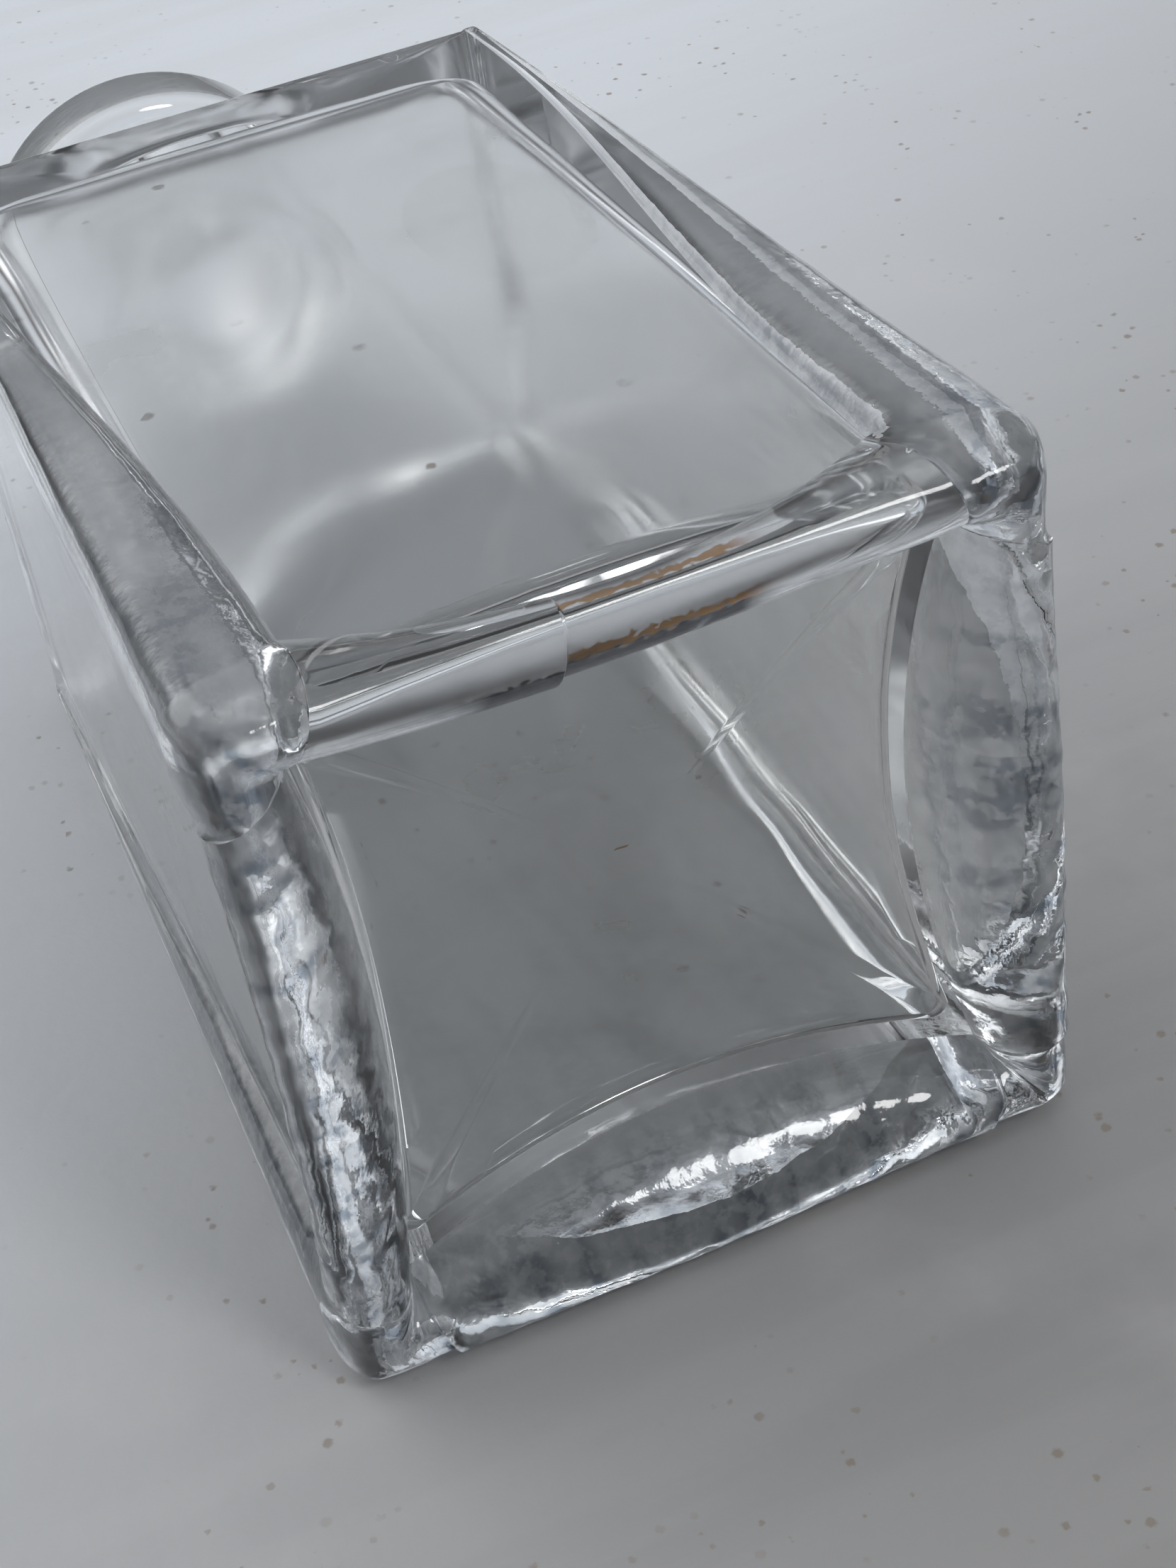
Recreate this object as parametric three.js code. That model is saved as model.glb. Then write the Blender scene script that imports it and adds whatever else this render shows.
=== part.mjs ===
// A heavy square glass bottle lying on one side, closed by a ground glass stopper.
//
// The bottle is drawn standing on its heel, in its own frame: the axis is +Z, z = 0 is the crest of
// the heel, and its four sides face -Y, +X, +Y and -X. A nested group then lays it on its side, so
// that in the part's frame +Z is up, the heel faces -Y and the neck points along +Y.
//
// Each side has one flat panel, sunk between four bars: two squarish corner bars that run the
// length of the body and die away at the shoulder, the shoulder edge, and the thick roll of the
// heel. The bottom has a sunk, dished cushion panel with four points. Inside is a square cavity,
// its corners sharp at the floor and round at the shoulder, whose walls thin towards the shoulder
// and whose floor follows the cushion. A tapered bore above it takes the stopper's plug.
import * as THREE from "three";

// Driving dimensions, in millimetres
const HEEL_WIDTH = 60; // over the corner bars, at the heel's crest
const SHOULDER_WIDTH = 53.4; // over the corner bars, at the shoulder edge
const BODY_LENGTH = 97.4; // heel crest to shoulder edge
const PANEL_SINK_HEEL = 2.4; // how far the bars stand above a side panel, at the heel
const PANEL_SINK_SHOULDER = 0.15; // and at the shoulder
const BAR_RADIUS_HEEL = 4.7; // half the width of a corner bar at the heel
const BAR_RADIUS_SHOULDER = 0.6; // and at the shoulder
const BAR_SQUARENESS = 3.5; // exponent of a bar's superellipse section, 2 for a circle
const BAR_FADE_END = 0.95; // share of the body's length at which the bars have died away
const BAR_FADE_POWER = 1.3; // over 1, the bars keep their width longer
const BAR_DROP = 5.2; // how much closer to the crest a bar's end is than the panel's corners
const PANEL_END_MIDDLE = 4.4; // height of the panel's heel end above the crest, at mid-width
const PANEL_END_CORNER = 10.2; // and at its two corners
const HEEL_SWELL = 2.4; // swell of the heel roll's arc, as a multiple of the panels' sink
const HEEL_SWELL_FADE = 0.3; // share of a corner over which the swell fades out
const HEEL_ROLL_POINT = 7; // from the bars' outer line in to the cushion's points
const HEEL_ROLL_MIDDLE = 9.7; // and in to the middle of the cushion's sides
const CUSHION_POINT_HEIGHT = 5.2; // the cushion's points, above the crest
const CUSHION_SIDE_HEIGHT = 7.9; // the middle of its sides, above the crest
const CUSHION_CENTRE_HEIGHT = 9.6; // its middle, above the crest
const SHOULDER_ROUND = 1; // radius of the shoulder edge
const SHOULDER_RISE = 5; // from the shoulder edge to the root of the neck
const NECK_ROOT_ROUND = 2; // radius between the shoulder and the neck
const NECK_RADIUS = 12;
const NECK_LENGTH = 22; // root to lip
const LIP_BEAD = 1.6; // how far the lip stands out from the neck
const LIP_HEIGHT = 4;
const BORE_RADIUS_LIP = 8.6; // tapered bore, at the lip
const BORE_RADIUS_ROOT = 7.6; // and at its lower end
const SIDE_WALL_HEEL = 4.9; // glass between a side panel and the cavity, at the heel
const SIDE_WALL_SHOULDER = 2.6; // and at the shoulder
const BASE_WALL = 3.2; // glass between the cushion and the cavity's floor
const SHOULDER_WALL = 2.6; // drop from the shoulder edge to the cavity's vault
const CAVITY_VAULT = 9; // height of the vault between the cavity's walls and the bore
const CAVITY_CORNER_TOP = 5; // radius of the cavity's upright corners, below the vault
const CAVITY_CORNER_FLOOR = 1.2; // and at the floor
const CAVITY_WAIST = 2.2; // how far the walls bow in at the floor
const CAVITY_FLOOR_ROUND = 1.4; // radius between the cavity's floor and walls
const STOPPER_HEAD_RADIUS = 17.4;
const STOPPER_HEAD_THICKNESS = 10;
const STOPPER_EDGE_ROUND = 2.6;
const PLUG_LENGTH = 18; // the part of the stopper inside the bore
const PLUG_CLEARANCE = 0.3; // all round the plug, and under the head

// How finely the surfaces are divided
const SIDE_COLUMNS = 8; // across each side
const CORNER_COLUMNS = 8; // round each corner
const CORNER_HALF_ANGLE = THREE.MathUtils.degToRad(9); // what a corner takes of a round section
const STOPPER_COLUMNS = 48;

const glassClear = { color: 0xdfe6e6, roughness: 0.05, metalness: 0, transparent: true, opacity: 0.45 };

const shoulderHeight = BODY_LENGTH;
const neckRootHeight = shoulderHeight + SHOULDER_RISE;
const lipHeight = neckRootHeight + NECK_LENGTH;
const heelHalf = HEEL_WIDTH / 2;
const shoulderHalf = SHOULDER_WIDTH / 2;
const cushionHalf = heelHalf - HEEL_ROLL_POINT;
const lipRadius = NECK_RADIUS + LIP_BEAD;
// The bars' outer lines are straight, so two of them carry the bottle when it lies on its side.
const layAngle = Math.atan2(heelHalf - shoulderHalf, shoulderHeight);

const mix = (from, to, share) => from + (to - from) * share;
const steps = (count) => Array.from({ length: count }, (_, i) => (i + 1) / count);

// Half width over the bars at height z
const halfOverBars = (z) => mix(heelHalf, shoulderHalf, z / shoulderHeight);
// How far the bars stand above the side panel, whose plane is therefore flat
const panelSink = (z) => mix(PANEL_SINK_HEEL, PANEL_SINK_SHOULDER, z / shoulderHeight);
// The corner bars die away towards the shoulder, in a smooth step
const barRadius = (z) => {
  const share = THREE.MathUtils.smoothstep(z / shoulderHeight, 0, BAR_FADE_END) ** BAR_FADE_POWER;
  return mix(BAR_RADIUS_HEEL, BAR_RADIUS_SHOULDER, share);
};

// Each column runs from the middle of the bottom to the lip and down inside. It lies on one of the
// four sides, at across = -1 to 1, or on one of the four corners, at round = 0 to 1.
const columns = [];
for (let quarter = 0; quarter < 4; quarter++) {
  const turn = (quarter * Math.PI) / 2;
  const halfSide = Math.PI / 4 - CORNER_HALF_ANGLE;
  for (let i = 0; i <= SIDE_COLUMNS; i++) {
    const across = (2 * i) / SIDE_COLUMNS - 1;
    columns.push({ turn, across, round: null, angle: across * halfSide });
  }
  for (let i = 1; i < CORNER_COLUMNS; i++) {
    const round = i / CORNER_COLUMNS;
    const angle = halfSide + 2 * CORNER_HALF_ANGLE * round;
    columns.push({ turn, across: 1, round, angle });
  }
}

// A point given on the side that faces -Y, turned to the column's own side
const turned = (column, x, y, z) =>
  new THREE.Vector3(x, y, z).applyAxisAngle(new THREE.Vector3(0, 0, 1), column.turn);

const signedPower = (value, exponent) => Math.sign(value) * Math.abs(value) ** exponent;

// Outline of the body at height z, for a column on the side that faces -Y. The panel is straight,
// and a corner bar is the part of a superellipse that stands out of the two panels beside it.
function outline(column, z) {
  const radius = barRadius(z);
  const centre = halfOverBars(z) - radius;
  const depth = radius - panelSink(z);
  const foot = (depth / radius) ** (BAR_SQUARENESS / 2);
  const rest = Math.sqrt(1 - foot ** 2);
  const power = 2 / BAR_SQUARENESS;
  if (column.round === null) {
    return [column.across * (centre - radius * rest ** power), -(centre + depth)];
  }
  const angle = mix(Math.atan2(-foot, -rest), Math.atan2(rest, foot), column.round);
  return [
    centre + radius * signedPower(Math.cos(angle), power),
    -centre + radius * signedPower(Math.sin(angle), power),
  ];
}

// The cushion panel's edge: its points are on the corners' diagonals, its sides curve in and up.
function cushionEdge(column) {
  const bow = 1 - column.across ** 2;
  return [
    column.across * cushionHalf,
    -mix(cushionHalf, heelHalf - HEEL_ROLL_MIDDLE, bow),
    mix(CUSHION_POINT_HEIGHT, CUSHION_SIDE_HEIGHT, bow),
  ];
}

// Heel end of a side panel or bar: an arc across the panel, and lower still along the bar's middle
const panelEndHeight = (column) => {
  const panel = mix(PANEL_END_CORNER, PANEL_END_MIDDLE, 1 - column.across ** 2);
  return panel - BAR_DROP * Math.sin(Math.PI * (column.round ?? 0));
};

function cushionRows() {
  return [0.25, 0.5, 0.75, 1].map((share) =>
    columns.map((column) => {
      const [x, y, z] = cushionEdge(column);
      return turned(column, x * share, y * share, mix(CUSHION_CENTRE_HEIGHT, z, share ** 2));
    }),
  );
}

// How far the heel roll swells beyond the end of a panel. It fades out along a corner bar, which
// already stands as far out as the roll.
function heelSwell(column) {
  const full = PANEL_SINK_HEEL * HEEL_SWELL;
  if (column.round === null) return [0, -full];
  const fade = (share) => full * Math.max(0, 1 - share / HEEL_SWELL_FADE) ** 2;
  return [fade(1 - column.round), -fade(column.round)];
}

// The heel roll: each column is a cubic Bezier arc from the cushion's edge, over the crest at
// z = 0, to the end of the side panel or bar.
function heelRows() {
  return steps(10).map((share) =>
    columns.map((column) => {
      const [x0, y0, z0] = cushionEdge(column);
      const z3 = panelEndHeight(column);
      const [x3, y3] = outline(column, z3);
      const crest = -(z0 + z3) / 6;
      const lean = ((column.round ?? 0) * Math.PI) / 2;
      const [swellX, swellY] = heelSwell(column);
      const arc = new THREE.CubicBezierCurve3(
        new THREE.Vector3(x0, y0, z0),
        new THREE.Vector3(x0 + Math.sin(lean), y0 - Math.cos(lean), crest),
        new THREE.Vector3(x3 + swellX, y3 + swellY, crest),
        new THREE.Vector3(x3, y3, z3),
      );
      const point = arc.getPoint(share);
      return turned(column, point.x, point.y, point.z);
    }),
  );
}

function sideRows() {
  const top = shoulderHeight - SHOULDER_ROUND;
  return steps(7).map((share) =>
    columns.map((column) => {
      const z = mix(panelEndHeight(column), top, share);
      const [x, y] = outline(column, z);
      return turned(column, x, y, z);
    }),
  );
}

// From the square shoulder edge, over its round and the sloping shoulder, to the round neck
function shoulderRows() {
  const top = shoulderHeight - SHOULDER_ROUND;
  const rows = steps(3).map((share) => {
    const bend = (share * Math.PI) / 2;
    const pull = SHOULDER_ROUND * (1 - Math.cos(bend));
    return columns.map((column) => {
      const [x, y] = outline(column, top);
      const shrink = 1 - pull / Math.max(Math.abs(x), Math.abs(y));
      return turned(column, x * shrink, y * shrink, top + SHOULDER_ROUND * Math.sin(bend));
    });
  });
  const edge = rows[rows.length - 1];
  const rootRadius = NECK_RADIUS + NECK_ROOT_ROUND;
  const rootHeight = neckRootHeight - NECK_ROOT_ROUND;
  const dome = steps(5).map((share) =>
    columns.map((column, i) => {
      const point = edge[i].clone().lerp(roundPoint(column, rootRadius, rootHeight), share);
      point.z = mix(shoulderHeight, rootHeight, 1 - (1 - share) ** 1.6);
      return point;
    }),
  );
  const root = steps(3).map((share) => {
    const bend = (share * Math.PI) / 2;
    const radius = rootRadius - NECK_ROOT_ROUND * Math.sin(bend);
    return roundRow(radius, neckRootHeight - NECK_ROOT_ROUND * Math.cos(bend));
  });
  return [...rows, ...dome, ...root];
}

const roundPoint = (column, radius, z) =>
  turned(column, radius * Math.sin(column.angle), -radius * Math.cos(column.angle), z);
const roundRow = (radius, z) => columns.map((column) => roundPoint(column, radius, z));

// Neck and lip outside, then the tapered bore inside
function neckRows() {
  const lipBottom = lipHeight - LIP_HEIGHT;
  const soft = LIP_HEIGHT / 4;
  return [
    roundRow(NECK_RADIUS, lipBottom - soft),
    roundRow(lipRadius, lipBottom + soft),
    roundRow(lipRadius, lipHeight - soft),
    roundRow(lipRadius - soft, lipHeight),
    roundRow(BORE_RADIUS_LIP + soft / 2, lipHeight),
    roundRow(BORE_RADIUS_LIP, lipHeight - soft / 2),
    roundRow(BORE_RADIUS_ROOT, neckRootHeight),
  ];
}

// Section of the cavity: a square with round corners, its sides bowed in by the waist
function cavityPoint(column, half, corner, waist, z) {
  const flat = half - corner;
  if (column.round === null) {
    return turned(column, column.across * flat, -half + waist * (1 - column.across ** 2), z);
  }
  const bend = (column.round * Math.PI) / 2;
  return turned(column, flat + corner * Math.sin(bend), -flat - corner * Math.cos(bend), z);
}

// The cavity's half width at height z: its walls thin evenly towards the shoulder.
const sideWall = (z) => mix(SIDE_WALL_HEEL, SIDE_WALL_SHOULDER, z / shoulderHeight);
const cavityHalf = (z) => halfOverBars(z) - panelSink(z) - sideWall(z);

// The vault turns the bore's circle into the cavity's square along a cubic Bezier arc.
function vaultRows(wallTop) {
  const half = cavityHalf(wallTop);
  const arc = new THREE.CubicBezierCurve(
    new THREE.Vector2(BORE_RADIUS_ROOT, neckRootHeight),
    new THREE.Vector2(BORE_RADIUS_ROOT + 1, neckRootHeight - SHOULDER_WALL),
    new THREE.Vector2(half, shoulderHeight - SHOULDER_WALL),
    new THREE.Vector2(half, wallTop),
  );
  return steps(7).map((share) => {
    const { x, y } = arc.getPoint(share);
    const squared = THREE.MathUtils.smoothstep(share, 0, 1);
    return columns.map((column) => {
      const square = cavityPoint(column, x, Math.min(CAVITY_CORNER_TOP, x), 0, y);
      return roundPoint(column, x, y).lerp(square, squared);
    });
  });
}

function cavityRows() {
  const wallTop = shoulderHeight - CAVITY_VAULT;
  const floorEdge = (column) => cushionEdge(column)[2] + BASE_WALL;
  const wall = steps(4).map((share) =>
    columns.map((column) => {
      const z = mix(wallTop, floorEdge(column) + CAVITY_FLOOR_ROUND, share);
      const corner = mix(CAVITY_CORNER_TOP, CAVITY_CORNER_FLOOR, share ** 0.6);
      return cavityPoint(column, cavityHalf(z), corner, CAVITY_WAIST * share ** 4, z);
    }),
  );
  const foot = wall[wall.length - 1];
  const round = steps(3).map((share) => {
    const bend = (share * Math.PI) / 2;
    return columns.map((column, i) => {
      const pull = CAVITY_FLOOR_ROUND * (1 - Math.cos(bend));
      const point = foot[i].clone().multiplyScalar(1 - pull / cavityHalf(0));
      return point.setZ(floorEdge(column) + CAVITY_FLOOR_ROUND * (1 - Math.sin(bend)));
    });
  });
  const edge = round[round.length - 1];
  const floor = [0.75, 0.5, 0.25].map((share) =>
    columns.map((column, i) => {
      const height = mix(CUSHION_CENTRE_HEIGHT + BASE_WALL, floorEdge(column), share ** 2);
      return edge[i].clone().multiplyScalar(share).setZ(height);
    }),
  );
  return [...vaultRows(wallTop), ...wall, ...round, ...floor];
}

// Joins rows of equal length into one closed skin, with a single point before the first row and
// after the last. Points that coincide are shared and faces that shrink to a line are left out.
function closedSkin(firstPoint, rows, lastPoint) {
  const positions = [];
  const found = new Map();
  const indexOf = (point) => {
    const key = point.toArray().map((value) => value.toFixed(3)).join();
    if (!found.has(key)) {
      found.set(key, positions.length / 3);
      positions.push(...point.toArray());
    }
    return found.get(key);
  };
  const faces = [];
  const face = (a, b, c) => {
    if (a !== b && b !== c && c !== a) faces.push(a, b, c);
  };
  const rings = rows.map((row) => row.map(indexOf));
  const first = indexOf(firstPoint);
  const last = indexOf(lastPoint);
  const count = columns.length;
  for (let i = 0; i < count; i++) {
    const next = (i + 1) % count;
    face(first, rings[0][next], rings[0][i]);
    for (let r = 0; r + 1 < rings.length; r++) {
      face(rings[r][i], rings[r][next], rings[r + 1][next]);
      face(rings[r][i], rings[r + 1][next], rings[r + 1][i]);
    }
    face(last, rings[rings.length - 1][i], rings[rings.length - 1][next]);
  }
  const geometry = new THREE.BufferGeometry();
  geometry.setAttribute("position", new THREE.Float32BufferAttribute(positions, 3));
  geometry.setIndex(faces);
  geometry.computeVertexNormals();
  return geometry;
}

function glassBottle() {
  const rows = [
    ...cushionRows(),
    ...heelRows(),
    ...sideRows(),
    ...shoulderRows(),
    ...neckRows(),
    ...cavityRows(),
  ];
  const geometry = closedSkin(
    new THREE.Vector3(0, 0, CUSHION_CENTRE_HEIGHT),
    rows,
    new THREE.Vector3(0, 0, CUSHION_CENTRE_HEIGHT + BASE_WALL),
  );
  const mesh = new THREE.Mesh(geometry, new THREE.MeshStandardMaterial(glassClear));
  mesh.name = "glass_bottle";
  return mesh;
}

// Stopper: a disc head with a rounded rim over a tapered plug, turned about the bottle's axis
function glassStopper() {
  const headBottom = lipHeight + PLUG_CLEARANCE;
  const headTop = headBottom + STOPPER_HEAD_THICKNESS;
  const plugEnd = lipHeight - PLUG_LENGTH;
  const boreAt = (z) =>
    mix(BORE_RADIUS_ROOT, BORE_RADIUS_LIP, (z - neckRootHeight) / (lipHeight - neckRootHeight));
  const profile = new THREE.Path();
  const r = STOPPER_EDGE_ROUND;
  profile.moveTo(0, plugEnd);
  profile.lineTo(boreAt(plugEnd) - PLUG_CLEARANCE - 1, plugEnd);
  profile.lineTo(boreAt(plugEnd) - PLUG_CLEARANCE, plugEnd + 1);
  profile.lineTo(boreAt(lipHeight) - PLUG_CLEARANCE, lipHeight);
  profile.lineTo(boreAt(lipHeight) - PLUG_CLEARANCE, headBottom);
  profile.lineTo(STOPPER_HEAD_RADIUS - r, headBottom);
  profile.absarc(STOPPER_HEAD_RADIUS - r, headBottom + r, r, -Math.PI / 2, 0, false);
  profile.absarc(STOPPER_HEAD_RADIUS - r, headTop - r, r, 0, Math.PI / 2, false);
  profile.lineTo(0, headTop);
  const points = profile.getPoints(6);
  points[0].x = 0;
  points[points.length - 1].x = 0;
  const geometry = new THREE.LatheGeometry(points, STOPPER_COLUMNS);
  geometry.rotateX(Math.PI / 2);
  const mesh = new THREE.Mesh(geometry, new THREE.MeshStandardMaterial(glassClear));
  mesh.name = "glass_stopper";
  return mesh;
}

const standing = new THREE.Group();
standing.add(glassBottle(), glassStopper());
// Laid on its side, heel towards -Y, then tipped so that two corner bars lie along the ground
standing.rotation.x = -Math.PI / 2 - layAngle;

const bottle = new THREE.Group();
bottle.add(standing);

// The origin is the middle of the bottom of the box that the whole part fills.
bottle.updateMatrixWorld(true);
const box = new THREE.Box3().setFromObject(bottle, true);
standing.position.set(-(box.min.x + box.max.x) / 2, -(box.min.y + box.max.y) / 2, -box.min.z);

export default bottle;
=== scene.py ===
import math

import bpy
import numpy as np
from mathutils import Matrix, Vector


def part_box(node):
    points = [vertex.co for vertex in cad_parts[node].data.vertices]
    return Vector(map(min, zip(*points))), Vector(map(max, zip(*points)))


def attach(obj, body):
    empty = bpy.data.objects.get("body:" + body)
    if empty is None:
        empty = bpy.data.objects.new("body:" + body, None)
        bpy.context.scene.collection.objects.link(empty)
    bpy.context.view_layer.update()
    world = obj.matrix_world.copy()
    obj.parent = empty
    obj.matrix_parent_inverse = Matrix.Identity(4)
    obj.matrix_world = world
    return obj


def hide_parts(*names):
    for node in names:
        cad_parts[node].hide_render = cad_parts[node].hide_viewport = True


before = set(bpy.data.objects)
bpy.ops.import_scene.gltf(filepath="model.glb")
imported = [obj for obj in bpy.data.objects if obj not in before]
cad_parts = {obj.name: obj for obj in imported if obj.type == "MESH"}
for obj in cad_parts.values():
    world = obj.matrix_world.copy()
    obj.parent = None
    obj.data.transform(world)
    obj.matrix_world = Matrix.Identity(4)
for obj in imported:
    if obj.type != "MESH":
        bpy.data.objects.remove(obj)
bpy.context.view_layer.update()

# ---------------------------------------------------------------------------------------------
# Sizes of the bottle, in metres, in its own standing frame: the axis is +Z, the heel's crest is
# at z = 0, and the side that ends up on top faces -Y.
# ---------------------------------------------------------------------------------------------
MM = 0.001
HEEL_HALF = 30.0 * MM
SHOULDER_HALF = 26.7 * MM
SHOULDER_Z = 97.4 * MM
SINK_HEEL = 2.4 * MM
SINK_SHOULDER = 0.15 * MM
BAR_HEEL = 4.7 * MM
BAR_SHOULDER = 0.6 * MM
BAR_SQUARE = 3.5  # exponent of a corner bar's superellipse section
BAR_END = 0.95  # share of the body's length at which the bars have died away
BAR_POWER = 1.3  # how late along the body the bars thin
BAR_DROP = 5.2 * MM  # how much lower a bar's middle ends than the panels beside it
PANEL_END_MIDDLE = 4.4 * MM
PANEL_END_CORNER = 10.2 * MM
SWELL = 2.4  # swell of the heel roll, as a multiple of the panels' sink
SWELL_FADE = 0.3  # share of a corner over which the swell dies away
HEEL_LEAN = 1.0 * MM  # how far the roll leans out of the cushion's edge before it turns
CUSHION_HALF = HEEL_HALF - 7.0 * MM
CUSHION_WAIST = HEEL_HALF - 9.7 * MM
CUSHION_POINT_Z = 5.2 * MM
CUSHION_SIDE_Z = 7.9 * MM
CUSHION_CENTRE_Z = 9.6 * MM
SHOULDER_ROUND = 1.0 * MM
DOME_POWER = 1.6  # the domed shoulder rises fast at its edge and flattens towards the neck
NECK_ROOT_Z = SHOULDER_Z + 5.0 * MM
NECK_ROUND = 2.0 * MM
NECK_R = 12.0 * MM
LIP_Z = NECK_ROOT_Z + 22.0 * MM
LIP_R = NECK_R + 1.6 * MM
LIP_TALL = 4.0 * MM
LIP_ROUND = 1.0 * MM
BORE_ROUND = 0.5 * MM
BORE_LIP_R = 8.6 * MM
BORE_ROOT_R = 7.6 * MM
VAULT_START = 1.0 * MM  # how far the cavity widens while it is still as steep as the bore
SIDE_WALL = 4.9 * MM
SIDE_WALL_TOP = 2.6 * MM
BASE_WALL = 3.2 * MM
SHOULDER_WALL = 2.6 * MM
VAULT_TALL = 9.0 * MM
CAVITY_CORNER_TOP = 5.0 * MM
CAVITY_CORNER_FLOOR = 1.2 * MM
CAVITY_FLOOR_ROUND = 1.4 * MM
CAVITY_WAIST = 2.2 * MM
HEAD_R = 17.4 * MM
HEAD_TALL = 10.0 * MM
HEAD_ROUND = 2.6 * MM
PLUG_LONG = 18.0 * MM
PLUG_GAP = 0.3 * MM
PLUG_ROUND = 1.0 * MM
CLEAR_BELOW_LIP = 1.5 * MM  # the plug's ground part ends this far below the lip

# Marks of the mould: a seam up the middle of the top and bottom sides, and a rippled skin
SEAM_ACROSS = 0.045  # the seam's place across the side panels, from -1 to 1
SEAM_HALF = 0.035  # half its width, in the same measure
STEP_ACROSS = -0.24  # the seam's place across the heel roll
STEP_HALF = 0.008
SEAM_RIDGE = 0.04 * MM
SEAM_STEP = 0.45 * MM  # how much lower the heel roll is on one side of the seam
RIPPLE = 0.08 * MM  # height of the ripples on the heel and bars
RIPPLE_WAVE = 1.9 * MM
TOP_ROLL_SKIN = 0.06  # share of the ripples that the top heel roll has, then bars and panels
BAR_SKIN = 0.8
PANEL_SKIN = 0.22
SWAY = 0.16 * MM  # height of the slow waves on the cavity's walls
SWAY_WAVE = 15 * MM
FINE_SWAY = 0.25 * SWAY
FINE_SWAY_WAVE = 11 * MM
STREAK_WAVE = 2.2 * MM  # width of the painted dark reflection streaks across the heel roll
COLUMN_WIDTH = 0.6 * MM  # about how far apart the skin's columns are on the heel
SINES_TO_FULL = 1.6  # brings a mean of six sines to a height of about 1

SAME_POINT = 0.0005 * MM  # points closer than this are one point
CORNER_TURN = math.radians(9)  # half of what a corner takes of a round section
SIDE_STEPS = 68
CORNER_STEPS = 20

# Rows of the skin along each stretch, from the cushion's centre round to the cavity's floor
CUSHION_COUNT = 14
HEEL_COUNT = 44
SIDE_COUNT = 40
EDGE_COUNT = 8
DOME_COUNT = 14
NECK_COUNT = 6
LIP_COUNT = 5
BORE_COUNT = 8
VAULT_COUNT = 20
WALL_COUNT = 24
FLOOR_COUNT = 12

LAY = math.atan2(HEEL_HALF - SHOULDER_HALF, SHOULDER_Z)


def laid_down():
    """The matrix that lays the standing bottle on its side: heel to -Y, side bars on the floor.

    Its shift is read from the frame: the heel's lower bars touch the lowest z, and the upper rim
    of the stopper's end face is the highest y of the whole part.
    """
    turn = Matrix.Rotation(-math.pi / 2 - LAY, 4, "X")
    low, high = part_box("glass_bottle")
    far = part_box("glass_stopper")[1]
    rim = turn @ Vector((0, -(HEAD_R - HEAD_ROUND), LIP_Z + PLUG_GAP + HEAD_TALL))
    bar = turn @ Vector((0, HEEL_HALF, 0))
    shift = Vector(((low[0] + high[0]) / 2, far[1] - rim.y, low[2] - bar.z))
    return Matrix.Translation(shift) @ turn


def mix(a, b, share):
    """The value that lies the given share of the way from a to b."""
    return a + (b - a) * share


# ---------------------------------------------------------------------------------------------
# Columns of the bottle's skin
# ---------------------------------------------------------------------------------------------
def skin_columns():
    """Every column's quarter turn, place across its side (-1 to 1), place round its corner
    (0 on the side, then 0 to 1) and angle on a round section."""
    half_side = math.pi / 4 - CORNER_TURN
    seam = STEP_ACROSS + STEP_HALF * np.array([-1.0, -0.4, 0.4, 1.0])
    across = np.sort(np.concatenate([np.linspace(-1, 1, SIDE_STEPS + 1), seam]))
    around = np.arange(1, CORNER_STEPS) / CORNER_STEPS
    one_across = np.concatenate([across, np.ones(len(around))])
    one_round = np.concatenate([np.zeros(len(across)), around])
    on_corner = np.concatenate([np.zeros(len(across)), np.ones(len(around))]).astype(bool)
    one_angle = np.concatenate([across * half_side, half_side + 2 * CORNER_TURN * around])
    quarter = np.repeat(np.arange(4), len(one_across))
    return {
        "turn": quarter * math.pi / 2,
        "across": np.tile(one_across, 4),
        "round": np.tile(one_round, 4),
        "corner": np.tile(on_corner, 4),
        "angle": np.tile(one_angle, 4),
    }


COL = skin_columns()
COUNT = len(COL["turn"])


def turned(x, y, z):
    """Points given on the side that faces -Y, turned to each column's own side."""
    c, s = np.cos(COL["turn"]), np.sin(COL["turn"])
    return np.stack([x * c - y * s, x * s + y * c, z * np.ones(COUNT)], axis=1)


def round_row(radius, z):
    """A circle of the given radius, cut at the columns' angles."""
    return turned(radius * np.sin(COL["angle"]), -radius * np.cos(COL["angle"]), z)


def bar_radius(z):
    """Half the width of a corner bar: a smooth step from the heel's to the shoulder's."""
    share = np.clip(z / SHOULDER_Z / BAR_END, 0, 1)
    return mix(BAR_HEEL, BAR_SHOULDER, (share * share * (3 - 2 * share)) ** BAR_POWER)


def outline(z):
    """Outline of the body at height z on the side that faces -Y.

    The panel is a straight line, sunk by an amount that falls evenly with height, so that the
    panel is flat. A corner bar is the part of a squarish oval (a superellipse) that stands out
    of the two panels beside it.
    """
    share = z / SHOULDER_Z
    radius = bar_radius(z)
    depth = radius - mix(SINK_HEEL, SINK_SHOULDER, share)
    centre = mix(HEEL_HALF, SHOULDER_HALF, share) - radius
    foot = (depth / radius) ** (BAR_SQUARE / 2)
    rest = np.sqrt(1 - foot**2)
    angle = mix(np.arctan2(-foot, -rest), np.arctan2(rest, foot), COL["round"])
    east = signed_power(np.cos(angle), 2 / BAR_SQUARE)
    north = signed_power(np.sin(angle), 2 / BAR_SQUARE)
    flank = radius * rest ** (2 / BAR_SQUARE)
    x = np.where(COL["corner"], centre + radius * east, COL["across"] * (centre - flank))
    y = np.where(COL["corner"], -centre + radius * north, -(centre + depth))
    return x, y


def signed_power(value, exponent):
    """The power of a value's size, with the value's own sign."""
    return np.sign(value) * np.abs(value) ** exponent


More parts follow.
